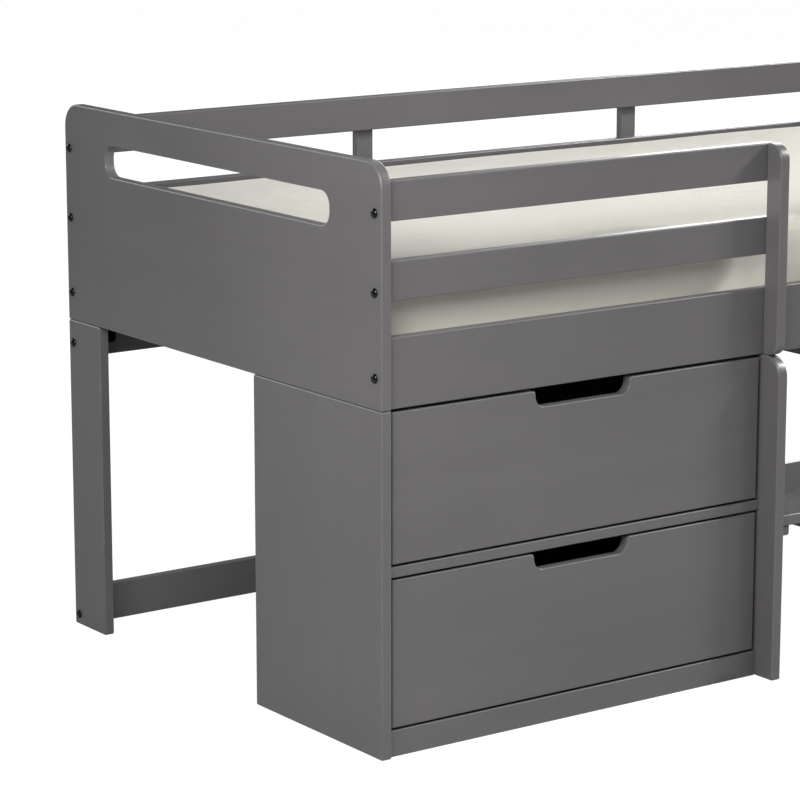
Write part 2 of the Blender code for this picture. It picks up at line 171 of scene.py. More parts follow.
class Graph:
    """A material's node tree, built one node at a time."""

    def __init__(self, name: str) -> None:
        """Start an empty material.

        Args:
            name: The material's name.
        """
        self.material = bpy.data.materials.new(name)
        self.material.use_nodes = True
        self.tree = self.material.node_tree
        self.tree.nodes.clear()

    def node(self, kind: str, settings: dict[str, object] | None = None,
             inputs: dict[int | str, object] | None = None) -> bpy.types.Node:
        """Add a node.

        Args:
            kind: The node's type.
            settings: Its properties.
            inputs: Values or wires for its input sockets, by name or number.

        Returns:
            The new node.
        """
        made = self.tree.nodes.new(kind)
        for key, value in (settings or {}).items():
            setattr(made, key, value)
        for key, value in (inputs or {}).items():
            if isinstance(value, Wire):
                self.tree.links.new(value.socket, made.inputs[key])
            else:
                made.inputs[key].default_value = value
        return made

    def add(self, kind: str, settings: dict[str, object] | None = None,
            inputs: dict[int | str, object] | None = None,
            output: int | str = 0) -> Wire:
        """Add a node, and take the wire of one of its outputs."""
        return Wire(self, self.node(kind, settings, inputs).outputs[output])

    def place(self) -> Wire:
        """The Object coordinates of the surface, in metres."""
        return self.add("ShaderNodeTexCoord", output="Object")

    def noise(self, place: Wire, scale: float, detail: float = 2.0,
              roughness: float = 0.5, distortion: float = 0.0) -> Wire:
        """A cloudy pattern about 0.5.

        Args:
            place: Coordinates.
            scale: Its steps per unit of the coordinates.
            detail: Its number of finer layers.
            roughness: How strong the finer layers are.
            distortion: How far the pattern is stirred.

        Returns:
            The pattern's value.
        """
        return self.add("ShaderNodeTexNoise", inputs={
            "Vector": place, "Scale": scale, "Detail": detail,
            "Roughness": roughness, "Distortion": distortion})

    def grained(self, place: Wire, grain: Axis, steps: Span, **pattern: float) -> Wire:
        """A cloudy pattern drawn out along a board's grain.

        Args:
            place: Object coordinates.
            grain: The way that the grain runs.
            steps: Pattern steps per metre along the grain and across it.
            **pattern: Its detail, roughness and distortion.

        Returns:
            The pattern's value.
        """
        scale = [steps[1]] * 3
        scale[grain.value] = steps[0]
        drawn = self.add("ShaderNodeMapping", inputs={"Vector": place, "Scale": scale})
        return self.noise(drawn, 1.0, **pattern)

    def attribute(self, name: str) -> Wire:
        """The value of a mesh attribute."""
        return self.add("ShaderNodeAttribute", {"attribute_name": name}, output="Fac")

    def mix(self, factor: Wire, first: "Colour | Wire", second: Colour) -> Wire:
        """Blend two colours.

        Args:
            factor: 0 for the first colour, 1 for the second.
            first: The first colour, or a wire.
            second: The second colour.

        Returns:
            The blended colour.
        """
        start = first if isinstance(first, Wire) else (*first, 1.0)
        return self.add("ShaderNodeMix", {"data_type": "RGBA"},
                        {0: factor, 6: start, 7: (*second, 1.0)}, 2)

    def bump(self, height: Wire, distance: float, under: Wire | None = None) -> Wire:
        """Raise a surface by a pattern.

        Args:
            height: The pattern.
            distance: How high a value of 1 stands.
            under: A bump that this one lies on.

        Returns:
            The surface's normal.
        """
        inputs: dict[int | str, object] = {"Height": height, "Distance": distance,
                                           "Strength": 1.0}
        if under is not None:
            inputs["Normal"] = under
        return self.add("ShaderNodeBump", inputs=inputs)

    def surface(self, **inputs: object) -> bpy.types.Material:
        """Close the graph with a Principled shader.

        Args:
            **inputs: The shader's inputs, with _ for a space in a name.

        Returns:
            The finished material.
        """
        named = {key.replace("_", " "): value for key, value in inputs.items()}
        shader = self.add("ShaderNodeBsdfPrincipled", inputs=named)
        output = self.node("ShaderNodeOutputMaterial", inputs={"Surface": shader})
        output.is_active_output = True
        return self.material


# ---------------------------------------------------------------- finishes
@dataclass(frozen=True)
class Lacquer:
    """Satin grey lacquer on board: a faint grain under it, a fine peel, and eased edges
    painted paler, partly as rubbed wear and partly as a painted highlight along the arrises.
    """

    grain: Axis
    dark: Colour = (0.0965, 0.0921, 0.0950)
    light: Colour = (0.118, 0.1127, 0.1162)
    # edge: the paler colour of eased edges, partly rubbed wear and partly a painted highlight
    # where the arrises catch light
    edge: Colour = (0.160, 0.156, 0.159)
    fibre_steps: Span = (7.0, 260.0)
    figure_steps: Span = (1.6, 17.0)
    cloud_steps: float = 2.3
    rub_steps: float = 38.0
    peel_steps: float = 640.0
    fibre_height: float = 0.00005
    peel_height: float = 0.000022
    roughness: float = 0.37
    slot: str = "grey_lacquer"

    def material(self) -> bpy.types.Material:
        """Make the lacquer for boards whose grain runs one way.

        Returns:
            The material.
        """
        graph = Graph(f"{self.slot}_{self.grain.name.lower()}")
        place = graph.place()
        fibres = graph.grained(place, self.grain, self.fibre_steps, detail=4.0,
                               roughness=0.6)
        figure = graph.grained(place, self.grain, self.figure_steps, detail=3.0,
                               distortion=0.6)
        cloud = graph.noise(place, self.cloud_steps, detail=3.0)
        peel = graph.noise(place, self.peel_steps)
        tone = (0.5 + cloud.swing(1.3) + figure.swing(0.7) + fibres.swing(0.35)).clamped()
        body = graph.mix(tone, self.dark, self.light)
        rubbed = graph.noise(place, self.rub_steps, detail=4.0, roughness=0.65)
        # Eased edges are painted paler in patches: partly rubbed wear, partly a painted
        # highlight where the rounded arrises catch light; the same mask lowers the roughness
        wear_and_highlight = (graph.attribute("eased") * (rubbed * 1.4 - 0.25)).clamped()
        colour = graph.mix(wear_and_highlight * 0.4, body, self.edge)
        gloss = self.roughness + cloud.swing(0.12) + rubbed.swing(0.08) - wear_and_highlight * 0.07
        normal = graph.bump(peel, self.peel_height, graph.bump(fibres, self.fibre_height))
        return graph.surface(Base_Color=colour, Roughness=gloss, Normal=normal,
                             Coat_Weight=0.12, Coat_Roughness=0.16)


@dataclass(frozen=True)
class Pine:
    """Planed pine, unfinished, with darker late wood in long drifting lines."""

    grain: Axis
    early: Colour = (0.66, 0.50, 0.32)
    late: Colour = (0.45, 0.28, 0.13)
    drift_steps: Span = (1.2, 9.0)
    fibre_steps: Span = (9.0, 520.0)
    ring_count: float = 62.0
    ring_sharpness: float = 2.4
    ring_height: float = 0.00006
    fibre_height: float = 0.00008
    roughness: float = 0.66
    slot: str = "bare_pine"

    def material(self) -> bpy.types.Material:
        """Make the pine.

        Returns:
            The material.
        """
        graph = Graph(f"{self.slot}_{self.grain.name.lower()}")
        place = graph.place()
        drift = graph.grained(place, self.grain, self.drift_steps)
        rings = ((drift * self.ring_count).sine() * 0.5 + 0.5).power(self.ring_sharpness)
        fibres = graph.grained(place, self.grain, self.fibre_steps, detail=3.0)
        tone = (rings * 0.72 + fibres.swing(0.5)).clamped()
        colour = graph.mix(tone, self.early, self.late)
        rough = self.roughness - rings * 0.12 + fibres.swing(0.1)
        normal = graph.bump(rings, self.ring_height, graph.bump(fibres, self.fibre_height))
        return graph.surface(Base_Color=colour, Roughness=rough, Normal=normal)


@dataclass(frozen=True)
class Ticking:
    """Cream mattress ticking: a plain weave with slubs, soft to the light."""

    shade: Colour = (0.620, 0.597, 0.522)
    lit: Colour = (0.690, 0.668, 0.592)
    thread: float = 0.0016
    slub_steps: Span = (90.0, 900.0)
    cloud_steps: float = 2.4
    fill_steps: float = 14.0
    weave_height: float = 0.0001
    fill_height: float = 0.0012
    roughness: float = 0.86
    slot: str = "mattress_ticking"

    def material(self) -> bpy.types.Material:
        """Make the ticking, whose threads run along all three directions.

        Returns:
            The material.
        """
        graph = Graph(self.slot)
        place = graph.place()
        split = graph.node("ShaderNodeSeparateXYZ", inputs={"Vector": place})
        turns = 2.0 * math.pi / self.thread
        waves = [(Wire(graph, output) * turns).sine() for output in split.outputs]
        weave = waves[0] * waves[1] + waves[1] * waves[2] + waves[2] * waves[0]
        slubs = graph.grained(place, Axis.DEPTH, self.slub_steps)
        cloud = graph.noise(place, self.cloud_steps, detail=3.0)
        tone = (0.5 + cloud.swing(0.9) + slubs.swing(0.25) + weave * 0.06).clamped()
        colour = graph.mix(tone, self.shade, self.lit)
        rough = self.roughness + slubs.swing(0.12)
        soft = graph.noise(place, self.fill_steps, roughness=0.4)
        under = graph.bump(slubs * 0.12 + soft, self.fill_height)
        normal = graph.bump(weave, self.weave_height, under)
        return graph.surface(Base_Color=colour, Roughness=rough, Normal=normal,
                             Sheen_Weight=0.25, Sheen_Roughness=0.45)


@dataclass(frozen=True)
class BlackSteel:
    """Black-zinc steel, glossy, with a faint mottle in its plating."""

    base: Colour = (0.001, 0.001, 0.0012)
    rubbed: Colour = (0.004, 0.004, 0.004)
    mottle_steps: float = 900.0
    streak_steps: float = 2600.0
    streak_height: float = 0.000005
    roughness: float = 0.07
    slot: str = "bolt_steel"

    def material(self) -> bpy.types.Material:
        """Make the plating.

        Returns:
            The material.
        """
        graph = Graph("black_steel")
        place = graph.place()
        mottle = graph.noise(place, self.mottle_steps, detail=3.0, roughness=0.6)
        streak = graph.noise(place, self.streak_steps)
        colour = graph.mix((mottle * 1.6 - 0.75).clamped(), self.base, self.rubbed)
        rough = self.roughness + mottle * 0.09
        normal = graph.bump(streak, self.streak_height)
        return graph.surface(Base_Color=colour, Roughness=rough, Normal=normal,
                             Specular_IOR_Level=0.34)


@dataclass(frozen=True)
class WheelPlastic:
    """Moulded plastic or rubber of the desk's wheels, with a fine spark texture."""

    name: str
    base: Colour
    scuffed: Colour
    roughness: float
    scuff_steps: float = 240.0
    spark_steps: float = 2400.0
    spark_height: float = 0.00002
    slot: str = "wheel_rubber"

    def material(self) -> bpy.types.Material:
        """Make the moulding.

        Returns:
            The material.
        """
        graph = Graph(self.name)
        place = graph.place()
        spark = graph.noise(place, self.spark_steps)
        scuff = graph.noise(place, self.scuff_steps, detail=4.0, roughness=0.7)
        colour = graph.mix((scuff * 2.2 - 0.9).clamped(), self.base, self.scuffed)
        rough = self.roughness + scuff.swing(0.2)
        normal = graph.bump(spark, self.spark_height)
        return graph.surface(Base_Color=colour, Roughness=rough, Normal=normal)


@dataclass(frozen=True)
class FloorFinish:
    """A pale floor, almost even, which may glow so that shadows on it are faint."""

    name: str
    low: Colour
    high: Colour
    specular: float
    glow: float
    cloud_steps: float = 1.3
    roughness: float = 0.78

    def material(self) -> bpy.types.Material:
        """Make the floor.

        Returns:
            The material.
        """
        graph = Graph(self.name)
        cloud = graph.noise(graph.place(), self.cloud_steps, detail=3.0)
        return graph.surface(Base_Color=graph.mix(cloud, self.low, self.high),
                             Roughness=self.roughness + cloud * 0.1,
                             Specular_IOR_Level=self.specular,
                             Emission_Color=WHITE, Emission_Strength=self.glow)


Finish = Lacquer | Pine | Ticking | BlackSteel | WheelPlastic


@cache
def finish_material(finish: Finish) -> bpy.types.Material:
    """A finish's material, made once."""
    return finish.material()


# ---------------------------------------------------------------- shaping
def evaluated_mesh(item: bpy.types.Object) -> bpy.types.Mesh:
    """A copy of an object's mesh with its modifiers applied."""
    view = bpy.context.evaluated_depsgraph_get()
    return bpy.data.meshes.new_from_object(item.evaluated_get(view))


def apply_modifiers(item: bpy.types.Object) -> None:
    """Keep the shape that an object's modifiers give it."""
    item.data = evaluated_mesh(item)
    item.modifiers.clear()


def everywhere(point: Vector) -> bool:
    """A test that every point passes."""
    return True


def both_ends(half: Profile) -> Profile:
    """A whole turned profile from its half at the far end."""
    return [*half, *((-along, out) for along, out in reversed(half))]


def domed_end(base: float, rise: float, radius: float, steps: int) -> Profile:
    """The profile of a domed end, from its rim to its crown on the axis.

    Args:
        base: Where the dome starts along the axis.
        rise: How far it stands out.
        radius: Its radius.
        steps: Facets from rim to crown.

    Returns:
        Its (along, out) points.
    """
    turns = [QUARTER * step / steps for step in range(steps)]
    curve = [(base + rise * math.sin(turn), radius * math.cos(turn)) for turn in turns]
    return [*curve, (base + rise, 0.0)]


class Form:
    """A solid on the bench: it is cut, rounded and eased, and then becomes a piece."""

    SHARP = math.radians(40.0)
    PARALLEL = 0.999
    FACE_WEIGHT = 90

    def __init__(self) -> None:
        """Start with nothing on the bench."""
        self.shape = bmesh.new()

    @classmethod
    def block(cls, low: Vector, high: Vector) -> "Form":
        """A square block between two corners.

        Args:
            low: Its lowest corner.
            high: Its highest corner.

        Returns:
            The block.
        """
        form = cls()
        size = Matrix.Diagonal((high - low).to_4d())
        place = Matrix.Translation((low + high) / 2)
        bmesh.ops.create_cube(form.shape, size=1.0, matrix=place @ size)
        return form

    @classmethod
    def opening(cls, through: Axis, low: Vector, high: Vector, corner: float,
                where: Test = everywhere, segments: int = 10) -> "Form":
        """A blade for a rounded opening, proud of the board on both sides.

        Args:
            through: The way that it goes through the board.
            low: The opening's lowest corner.
            high: The opening's highest corner.
            corner: The radius of its corners.
            where: Says from a corner's middle whether it is rounded.
            segments: Facets in each corner.

        Returns:
            The blade.
        """
        beyond = through.vector * PROUD
        blade = cls.block(low - beyond, high + beyond)
        return blade.round_edges(through, corner, where, segments)

    @classmethod
    def turned(cls, profile: Profile, closed: bool, steps: int = 32) -> "Form":
        """A shape turned about the X axis.

        Args:
            profile: Its (along, out) points.
            closed: True if the profile is a ring, False if it ends on the axis.
            steps: Facets round the axis.

        Returns:
            The turned shape, at the origin.
        """
        form = cls()
        points = [form.shape.verts.new((along, 0.0, out)) for along, out in profile]
        pairs = [(points[i - 1], points[i]) for i in range(0 if closed else 1, len(points))]
        edges = [form.shape.edges.new(pair) for pair in pairs]
        bmesh.ops.spin(form.shape, geom=points + edges, axis=(1.0, 0.0, 0.0),
                       cent=(0.0, 0.0, 0.0), angle=2.0 * math.pi, steps=steps,
                       use_merge=True)
        form.weld()
        bmesh.ops.recalc_face_normals(form.shape, faces=form.shape.faces)
        return form

    @classmethod
    def hexagon(cls, radius: float, start: float, end: float) -> "Form":
        """A straight six-sided prism on the X axis.

        Args:
            radius: Its corners' distance from the axis.
            start: Where it starts along X.
            end: Where it ends along X.

        Returns:
            The prism.
        """
        form = cls()
        place = Matrix.Translation(((start + end) / 2, 0.0, 0.0))
        turn = Matrix.Rotation(QUARTER, 4, "Y")
        bmesh.ops.create_cone(form.shape, cap_ends=True, segments=6, radius1=radius,
                              radius2=radius, depth=end - start, matrix=place @ turn)
        return form

    def weld(self) -> None:
        """Merge the corners that lie on one another."""
        bmesh.ops.remove_doubles(self.shape, verts=self.shape.verts, dist=WELD)

    def bevel(self, edges: list[bmesh.types.BMEdge], radius: float,
              segments: int) -> list[bmesh.types.BMFace]:
        """Round some edges.

        Args:
            edges: The edges.
            radius: The rounding's radius.
            segments: Facets in the rounding.

        Returns:
            The faces of the rounding.
        """
        made = bmesh.ops.bevel(self.shape, geom=edges, offset=radius, segments=segments,
                               profile=0.5, affect="EDGES", clamp_overlap=True,
                               material=-1)
        return made["faces"]

    def round_edges(self, along: Axis, radius: float, where: Test = everywhere,
                    segments: int = 10) -> "Form":
        """Round the corners that run along one direction.

        Args:
            along: The direction of the corners' edges.
            radius: The corners' radius.
            where: Says from an edge's middle whether it is rounded.
            segments: Facets in each corner.

        Returns:
            This form.
        """
        chosen = []
        for edge in self.shape.edges:
            ends = edge.verts[1].co - edge.verts[0].co
            slant = abs(ends.normalized().dot(along.vector))
            if slant > self.PARALLEL and where((edge.verts[0].co + edge.verts[1].co) / 2):
                chosen.append(edge)
        self.bevel(chosen, radius, segments)
        return self

    def cut(self, *tools: "Form") -> "Form":
        """Take other forms away from this one.

        Args:
            *tools: The forms that cut.

        Returns:
            This form.
        """
        for tool in tools:
            body = self.loose("bench_body")
            blade = tool.loose("bench_blade")
            cutting = body.modifiers.new("cut", "BOOLEAN")
            cutting.operation = "DIFFERENCE"
            cutting.solver = "EXACT"
            cutting.object = blade
            self.shape.free()
            self.shape = bmesh.new()
            self.shape.from_mesh(evaluated_mesh(body))
            self.weld()
            for item in (body, blade):
                bpy.data.objects.remove(item, do_unlink=True)
        return self

    def ease(self, width: float = EASE, segments: int = 3) -> "Form":
        """Round every sharp edge a little, and mark the rounded faces as eased.

        Args:
            width: The rounding's radius.
            segments: Facets in the rounding.

        Returns:
            This form.
        """
        sharp = [edge for edge in self.shape.edges
                 if len(edge.link_faces) == 2 and edge.calc_face_angle(0.0) > self.SHARP]
        rounded = self.bevel(sharp, width, segments)
        mark = self.shape.loops.layers.float.new("eased")
        for face in rounded:
            for loop in face.loops:
                loop[mark] = 1.0
        return self

    def moved(self, place: Vector, turn: Matrix | None = None) -> "Form":
        """Turn this form and carry it to its place.

        Args:
            place: Where its origin goes.
            turn: A rotation, or None.

        Returns:
            This form.
        """
        matrix = Matrix.Translation(place) @ (turn if turn is not None else Matrix())
        bmesh.ops.transform(self.shape, matrix=matrix, verts=self.shape.verts)
        return self

    def loose(self, name: str) -> bpy.types.Object:
        """Put a copy of this form into the scene.

        Args:
            name: The object's name.

        Returns:
            The object.
        """
        mesh = bpy.data.meshes.new(name)
        self.shape.to_mesh(mesh)
        item = bpy.data.objects.new(name, mesh)
        bpy.context.scene.collection.objects.link(item)
        return item

    def piece(self, name: str, finish: Finish, body: str, nodes: Iterable[str] = ()) -> None:
        """Take the form off the bench as a finished, dressed piece.

        Args:
            name: The piece's name.
            finish: What it is finished with.
            body: The CAD body that it rides on.
            nodes: The CAD nodes that it stands for.
        """
        item = self.loose(name)
        self.shape.free()
        item.data.shade_smooth()
        settle = item.modifiers.new("settle_normals", "WEIGHTED_NORMAL")
        settle.weight = self.FACE_WEIGHT
        settle.keep_sharp = False
        apply_modifiers(item)
        dress(item, finish, body, nodes)

    def stand_for(self, node: str, finish: Finish, body: str) -> None:
        """Finish the form as the piece that stands for a CAD node."""
        self.piece(f"finished_{node}", finish, body, [node])


def dress(item: bpy.types.Object, finish: Finish, body: str,
          nodes: Iterable[str] = ()) -> None:
    """Give a piece its finish and its CAD body, and hide the CAD nodes that it stands for.

    Args:
        item: The piece.
        finish: Its finish.
        body: The CAD body that it rides on.
        nodes: The CAD nodes that it stands for.
    """
    item.data.materials.clear()
    item.data.materials.append(finish_material(finish))
    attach(item, body)
    if nodes:
        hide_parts(*nodes)
    LOG.info("%s: %d faces, on %s", item.name, len(item.data.polygons), body)


@dataclass(frozen=True)
class Corner:
    """Which corners of an upright board are rounded, seen from its side, and how far."""

    radius: float
    at_top: bool = True
    at_rear_too: bool = False
    segments: int = 10

    def holds(self, point: Vector, low: Vector, high: Vector) -> bool:
        """Say whether a point is at such a corner of a board.

        Args:
            point: The point.
            low: The board's lowest corner.
            high: The board's highest corner.

        Returns:
            True if it is.
        """
        level = point.z > high.z - NEAR if self.at_top else point.z < low.z + NEAR
        return level and (self.at_rear_too or point.y < low.y + NEAR)


def board_at(node: str, *corners: Corner) -> Form:
    """A board where a CAD node is, with some corners rounded and its edges still sharp.

    Args:
        node: The CAD node.
        *corners: The corners that are rounded.

    Returns:
        The board.
    """
    low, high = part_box(node)
    form = Form.block(low, high)
    for corner in corners:
        form.round_edges(Axis.LENGTH, corner.radius,
                         lambda point, at=corner: at.holds(point, low, high),
                         corner.segments)
    return form


def straight_board(node: str, finish: Finish, body: str, ease: float = EASE) -> None:
    """Make a plain board with eased edges where a CAD node is."""
    board_at(node).ease(ease).stand_for(node, finish, body)


# ---------------------------------------------------------------- bed frame
@dataclass
class EndPanels:
    """The two upper end panels, each with rounded top corners and a long hand slot."""

    corner: Corner = Corner(0.042, at_rear_too=True)
    slot_front: float = 0.147
    slot_rear: float = 0.143
    slot_below_top: Span = (0.1185, 0.0623)
    slot_corner: float = 0.024
    body: str = BED

    def build(self) -> None:
        """Make both panels."""
        for node in ("left_end_panel", "right_end_panel"):
            low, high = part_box(node)
            foot, top = (high.z - below for below in self.slot_below_top)
            slot = Form.opening(Axis.LENGTH, Vector((low.x, low.y + self.slot_front, foot)),
                                Vector((high.x, high.y - self.slot_rear, top)),
                                self.slot_corner)
            panel = board_at(node, self.corner).cut(slot).ease()
            panel.stand_for(node, Lacquer(Axis.DEPTH), self.body)


@dataclass
class Underframe:
    """The legs, the rear stretchers and the steel brackets that tie them."""

    stretcher_ease: float = 0.0015
    bracket_length: float = 0.062
    bracket_height: float = 0.024
    bracket_steel: float = 0.0025
    bracket_corner: float = 0.007
    bracket_ease: float = 0.0005
    body: str = BED

    def build(self) -> None:
        """Make the legs, the stretchers and the two brackets."""
        for node in ("rear_left_leg", "rear_right_leg", "front_right_leg"):
            straight_board(node, Lacquer(Axis.HEIGHT), self.body)
        for node in ("rear_stretcher_upper", "rear_stretcher_lower"):
            straight_board(node, Lacquer(Axis.LENGTH), self.body, self.stretcher_ease)
        for side in Side:
            self.bracket(side)

    def bracket(self, side: Side) -> None:
        """Bend one angle bracket into the corner of a leg and the upper stretcher.

        Args:
            side: The bed's side that it is on.
        """
        low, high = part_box("rear_stretcher_upper")
        leg_face, inward = side.face(low, high), -side.outward
        middle = (low.z + high.z) / 2
        foot, top = middle - self.bracket_height / 2, middle + self.bracket_height / 2
        far = leg_face + inward * self.bracket_length
        reach = low.y - self.bracket_length / 2
        near_x, far_x = sorted((leg_face, far))
        plate = Form.block(Vector((near_x, reach, foot)), Vector((far_x, low.y, top)))
        near_x, far_x = sorted((leg_face + inward * self.bracket_steel,
                                far + inward * PROUD))
        plate.cut(Form.block(
            Vector((near_x, reach - PROUD, foot - PROUD)),
            Vector((far_x, low.y - self.bracket_steel, top + PROUD))))
        plate.round_edges(Axis.DEPTH, self.bracket_corner,
                          lambda point: abs(point.x - far) < NEAR, 6)
        plate.ease(self.bracket_ease, 2)
        plate.piece(f"corner_bracket_{side.value}", BlackSteel(), self.body)


@dataclass
class Rails:
    """Bed rails, guard rails, the two guard posts and the rear balusters."""

    post_top: Corner = Corner(0.029)
    post_foot: Corner = Corner(0.025, at_top=False)
    body: str = BED

    def build(self) -> None:
        """Make the rails, the posts and the balusters."""
        guards = [f"{place}_guard_rail_{level}" for place in ("left", "right", "rear")
                  for level in ("lower", "upper")]
        for node in ["front_bed_rail", "rear_bed_rail", *guards]:
            straight_board(node, Lacquer(Axis.LENGTH), self.body)
        for node in ("rear_baluster_left", "rear_baluster_right"):
            straight_board(node, Lacquer(Axis.HEIGHT), self.body)
        for node in ("left_guard_post", "right_guard_post"):
            post = board_at(node, self.post_top, self.post_foot).ease()
            post.stand_for(node, Lacquer(Axis.HEIGHT), self.body)


@dataclass
class SlatBase:
    """The pine ledgers and slats under the mattress."""

    count: int = 9
    ledger_ease: float = 0.0015
    slat_ease: float = 0.0025
    body: str = BED

    def build(self) -> None:
        """Make the ledgers and the slats."""
        for node in ("slat_ledger_front", "slat_ledger_rear"):
            straight_board(node, Pine(Axis.LENGTH), self.body, self.ledger_ease)
        for index in range(self.count):
            straight_board(f"slat_{index + 1}", Pine(Axis.DEPTH), self.body, self.slat_ease)


# ---------------------------------------------------------------- mattress
@dataclass
class Mattress:
    """A foam mattress in a woven cover, filled as cloth under pressure."""

    slack: float = 0.004
    corner: float = 0.018
    voxel: float = 0.015
    pressure: float = 4.0
    quality: int = 5
    frames: int = 20
    held_height: float = 0.004
    most_swell: float = 0.004
    flat_reach: Span = (0.8, 0.36)
    hollow: float = 0.0030
    dips: Span = (3.1, 4.3)
    dip_start: float = 0.3
    folds: Span = (1.3, 11.0)
    fold_start: Span = (7.0, 1.7)
    fold_share: float = 0.45
    sink: float = 0.25
    rise: float = 0.0075
    fall: float = 0.014
    fall_width: float = 0.110
    seam_depth: float = 0.0025
    seam_width: float = 0.007
    body: str = BED

    def build(self) -> None:
        low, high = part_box("mattress")
        item = self.cover(low, high)
        self.fill(item, low.z)
        self.settle(item, low, high)
        smooth = item.modifiers.new("fine_cloth", "SUBSURF")
        smooth.levels = 1
        smooth.render_levels = 1
        apply_modifiers(item)
        item.data.shade_smooth()
        dress(item, Ticking(), self.body, ["mattress"])

    def cover(self, low: Vector, high: Vector) -> bpy.types.Object:
        """The cover before it is filled, a little smaller than the mattress.

        Args:
            low: The mattress's lowest corner.
            high: The mattress's highest corner.

        Returns:
            The cover, as an even net of small faces.
        """
        inset = Vector((self.slack, self.slack, 0.0))
        top = Vector((0.0, 0.0, self.slack))
        form = Form.block(low + inset, high - inset - top)
        form.bevel(list(form.shape.edges), self.corner, 4)
        item = form.loose("finished_mattress")
        net = item.modifiers.new("net", "REMESH")
        net.mode = "VOXEL"
        net.voxel_size = self.voxel
        apply_modifiers(item)
        return item

    def fill(self, item: bpy.types.Object, floor: float) -> None:
        """Blow the cover up as cloth and keep the result.

        Args:
            item: The cover.
            floor: The height of the slats under it.
        """
        rest = [vertex.co.copy() for vertex in item.data.vertices]
        held = item.vertex_groups.new(name="held")
        under = [i for i, co in enumerate(rest) if co.z < floor + self.held_height]
        held.add(under, 1.0, "REPLACE")
        cloth = item.modifiers.new("cloth", "CLOTH")
        cloth.settings.use_pressure = True
        cloth.settings.uniform_pressure_force = self.pressure
        cloth.settings.vertex_group_mass = "held"
        cloth.settings.quality = self.quality
        cloth.settings.effector_weights.gravity = 0.0
        cloth.collision_settings.use_collision = False
        for step in range(1, self.frames + 1):
            bpy.context.scene.frame_set(step)
        filled = evaluated_mesh(item)
        item.modifiers.clear()
        for vertex, start, swollen in zip(item.data.vertices, rest, filled.vertices):
            swell = swollen.co - start
            if swell.length > self.most_swell:
                swell *= self.most_swell / swell.length
            vertex.co = start + swell
        bpy.data.meshes.remove(filled)
        bpy.context.scene.frame_set(1)

    def relief(self, x: float, y: float) -> float:
        """How high the uneven filling lifts the top at one point.

        Args:
            x: The point's place along the bed.
            y: Its place across the bed.

        Returns:
            The lift, below zero in a hollow.
        """
        dip = noise.noise(Vector((x * self.dips[0], y * self.dips[1], self.dip_start)))
        shift, level = self.fold_start
        fold = noise.noise(Vector((x * self.folds[0] + shift, y * self.folds[1], level)))
        return self.hollow * (dip + self.fold_share * fold - self.sink)

    def settle(self, item: bpy.types.Object, low: Vector, high: Vector) -> None:
        """Give the top its shallow hollows and its slope, and the sides their sewn seam.

        Args:
            item: The mattress.
            low: Its CAD node's lowest corner.
            high: Its CAD node's highest corner.
        """
        middle, size = (low + high) / 2, high - low
        vertices = item.data.vertices
        crown = [vertex.co.z for vertex in vertices
                 if abs(vertex.co.x - middle.x) < self.flat_reach[0]
                 and abs(vertex.co.y - middle.y) < self.flat_reach[1]
                 and vertex.co.z > middle.z]
        stretch = size.z / (sum(crown) / len(crown) - low.z)
        seam = high.z - 2 * self.corner
        for vertex in vertices:
            co = vertex.co
            co.z = low.z + (co.z - low.z) * stretch
            over = max(0.0, min(1.0, (co.z - seam) / self.corner))
            co.z += over * self.relief(co.x, co.y)
            co.z += over * self.rise * (co.y - low.y) / size.y
            co.z -= over * self.fall * math.exp((low.y - co.y) / self.fall_width)
            pull = self.seam_depth * math.exp(-((co.z - seam) / self.seam_width) ** 2)
            on_end = abs(co.x - middle.x) > size.x / 2 - self.corner
            on_side = abs(co.y - middle.y) > size.y / 2 - self.corner
            if on_end:
                co.x -= math.copysign(pull, co.x - middle.x)
            if on_side:
                co.y -= math.copysign(pull, co.y - middle.y)
            co.z = max(low.z, co.z)


# ---------------------------------------------------------------- cabinet and drawers
STILE_CORNER = Corner(0.037)


def make_stile(node: str, body: str) -> None:
    """Make one of the ladder's stiles, rounded at its top front corner."""
    stile = board_at(node, STILE_CORNER).ease()
    stile.stand_for(node, Lacquer(Axis.HEIGHT), body)


@dataclass
class Cabinet:
    """The drawer cabinet, whose right side is also the ladder's left stile."""

    inner_ease: float = 0.002
    body: str = BED

    def build(self) -> None:
        """Make the sides, the back, the bottom, the divider and the plinth."""
        straight_board("cabinet_left_side", Lacquer(Axis.HEIGHT), self.body)
        for part in ("plinth", "bottom", "divider", "back"):
            straight_board(f"cabinet_{part}", Lacquer(Axis.LENGTH), self.body,
                           self.inner_ease)
        make_stile("cabinet_right_side", self.body)


@dataclass
class Drawer:
    """One drawer: a front with a hand cut-out in its top edge, and a box behind it."""

    level: Level
    handle_width: float = 0.200
    handle_depth: float = 0.028
    handle_corner: float = 0.019
    handle_lip: float = 0.006
    front_ease: float = 0.0022
    box_ease: float = 0.0012

    @property
    def body(self) -> str:
        """The CAD body that the drawer rides on."""
        return f"{self.level.value}_drawer"

    def build(self) -> None:
        """Make the front and the box."""
        self.front(f"{self.body}_front")
        for part, grain in (("left_side", Axis.DEPTH), ("right_side", Axis.DEPTH),
                            ("back", Axis.LENGTH), ("bottom", Axis.LENGTH)):
            straight_board(f"{self.body}_{part}", Lacquer(grain), self.body, self.box_ease)

    def front(self, node: str) -> None:
        """Make the front, with its hand cut-out and the cut-out's rounded lips.

        Args:
            node: The front's CAD node.
        """
        low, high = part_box(node)
        middle, reach = (low.x + high.x) / 2, self.handle_width / 2
        floor = high.z - self.handle_depth
        handle = Form.opening(Axis.DEPTH, Vector((middle - reach, low.y, floor)),
                              Vector((middle + reach, high.y, high.z + PROUD)),
                              self.handle_corner, lambda point: point.z < floor + NEAR)
        front = Form.block(low, high).cut(handle)
        front.round_edges(Axis.DEPTH, self.handle_lip,
                          lambda point: point.z > high.z - NEAR
                          and abs(abs(point.x - middle) - reach) < NEAR, 6)
        front.ease(self.front_ease).stand_for(node, Lacquer(Axis.LENGTH), self.body)


